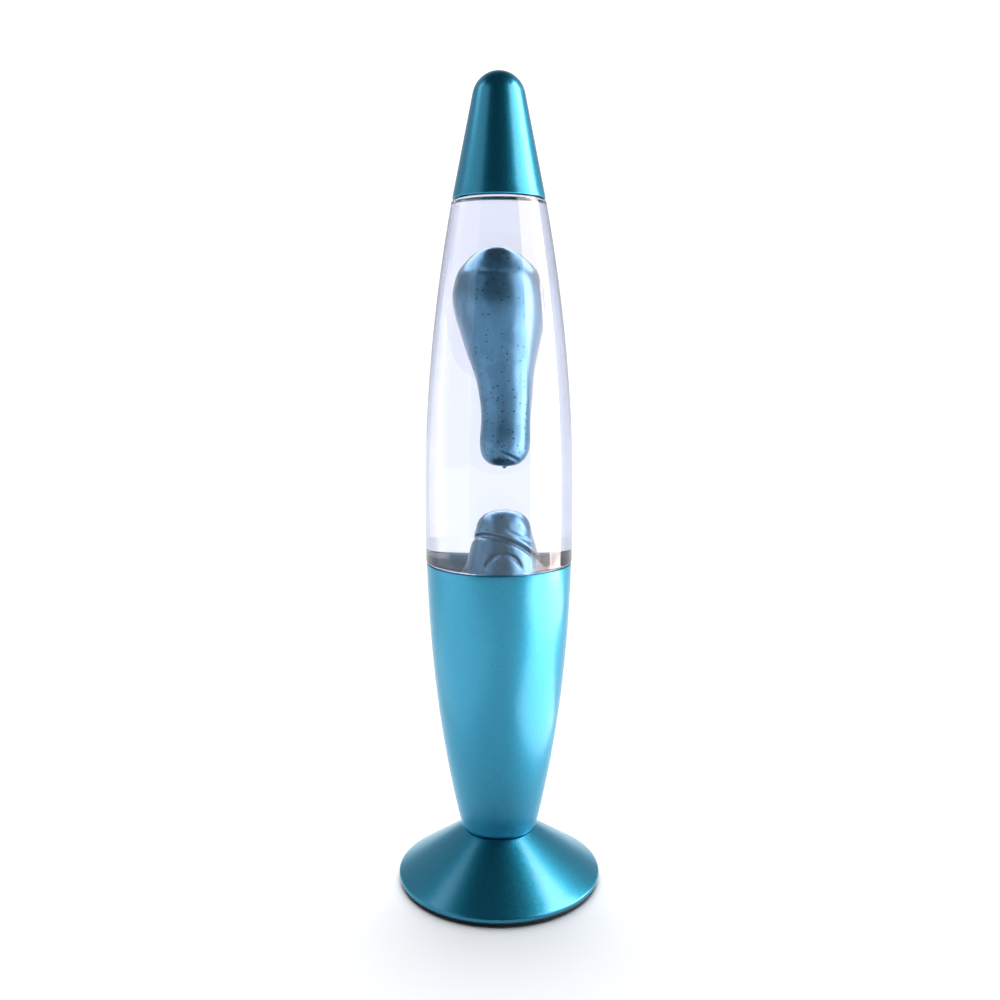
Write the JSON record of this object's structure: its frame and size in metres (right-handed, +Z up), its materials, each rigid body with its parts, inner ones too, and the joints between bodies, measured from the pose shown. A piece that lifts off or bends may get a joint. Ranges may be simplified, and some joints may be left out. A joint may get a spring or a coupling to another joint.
{
  "type": "lava lamp",
  "caption": "Slim lava lamp: a conical foot and flared metal cup hold a tapered glass bottle of clear liquid and pearly wax under a rounded conical cap.",
  "frame": {"origin": "centre of the footprint, on the surface that the lamp stands on", "axes": "+Z up along the lamp's axis, -Y towards the viewer, +X to the viewer's right; the cord inlet is at the back, towards +Y"},
  "size_m": [0.1036, 0.1036, 0.4],
  "materials": {
    "teal_paint": "metallic teal lacquer over spun aluminium, satin gloss",
    "black_rubber": "matt",
    "black_plastic": "fine moulded grain",
    "zinc_steel": "zinc plated",
    "brass": "bright",
    "white_plastic": "smooth",
    "brown_wire": "smooth PVC",
    "blue_wire": "smooth PVC",
    "nickel": "bright nickel",
    "bulb_metal": "satin",
    "solder": "dull solder",
    "black_glass": "fused black glass",
    "bulb_glass": "silvered inside below the rim, frosted face",
    "stem_glass": "clear",
    "tungsten": "matt grey",
    "bottle_glass": "clear, fire polished",
    "tin": "bright tinplate",
    "liner": "matt",
    "liquid": "clear liquid",
    "pearl_wax": "pearlescent silver blue wax"
  },
  "bodies": {
    "base": {"foot": "teal_paint", "grip_ring": "black_rubber", "base_plate": "black_plastic", "plate_screws": "zinc_steel", "screw_bosses": "zinc_steel", "cord_grommet": "black_rubber", "cup": "teal_paint", "threaded_tube": "zinc_steel", "tube_nuts": "zinc_steel", "lock_washers": "zinc_steel", "holder_base": "black_plastic", "holder_shell": "black_plastic", "holder_insert": "white_plastic", "screw_contact": "brass", "centre_contact": "brass", "holder_terminals": "brass", "live_lead": "brown_wire", "neutral_lead": "blue_wire", "terminal_block": "white_plastic", "terminal_sleeves": "brass", "terminal_screws": "zinc_steel", "block_screw": "zinc_steel"},
    "bulb_contact": {"bulb_tip": "solder"},
    "bulb": {"bulb_glass": "bulb_glass", "bulb_screw_shell": "bulb_metal", "bulb_insulator": "black_glass", "bulb_stem": "stem_glass", "support_wires": "nickel", "filament": "tungsten"},
    "bottle": {"bottle": "bottle_glass", "closure": "tin", "closure_liner": "liner", "liquid": "liquid", "heat_coil": "zinc_steel", "wax_pool": "pearl_wax"},
    "floating_wax": {"wax_blob": "pearl_wax"},
    "cap": {"cap": "teal_paint"}
  },
  "joints": [
    {"name": "bottle_lift", "type": "slide", "parent": "base", "child": "bottle", "axis": [0, 0, 1], "range_m": [0, 0.09]},
    {"name": "cap_lift", "type": "slide", "parent": "bottle", "child": "cap", "axis": [0, 0, 1], "range_m": [0, 0.06]},
    {"name": "wax_rise", "type": "slide", "parent": "bottle", "child": "floating_wax", "axis": [0, 0, 1], "range_m": [-0.017, 0.012], "deforming": ["liquid"]},
    {"name": "bulb_rise", "type": "slide", "parent": "base", "child": "bulb_contact", "axis": [0, 0, 1], "range_m": [0, 0.01128]},
    {"name": "bulb_unscrew", "type": "hinge", "parent": "bulb_contact", "child": "bulb", "pos_m": [0, 0, 0.09], "axis": [0, 0, 1], "range_deg": [0, 1440]}
  ],
  "couplings": [
    {"joint": "bulb_unscrew", "follows": "bulb_rise", "rad_per_m": 2226.5}
  ]
}
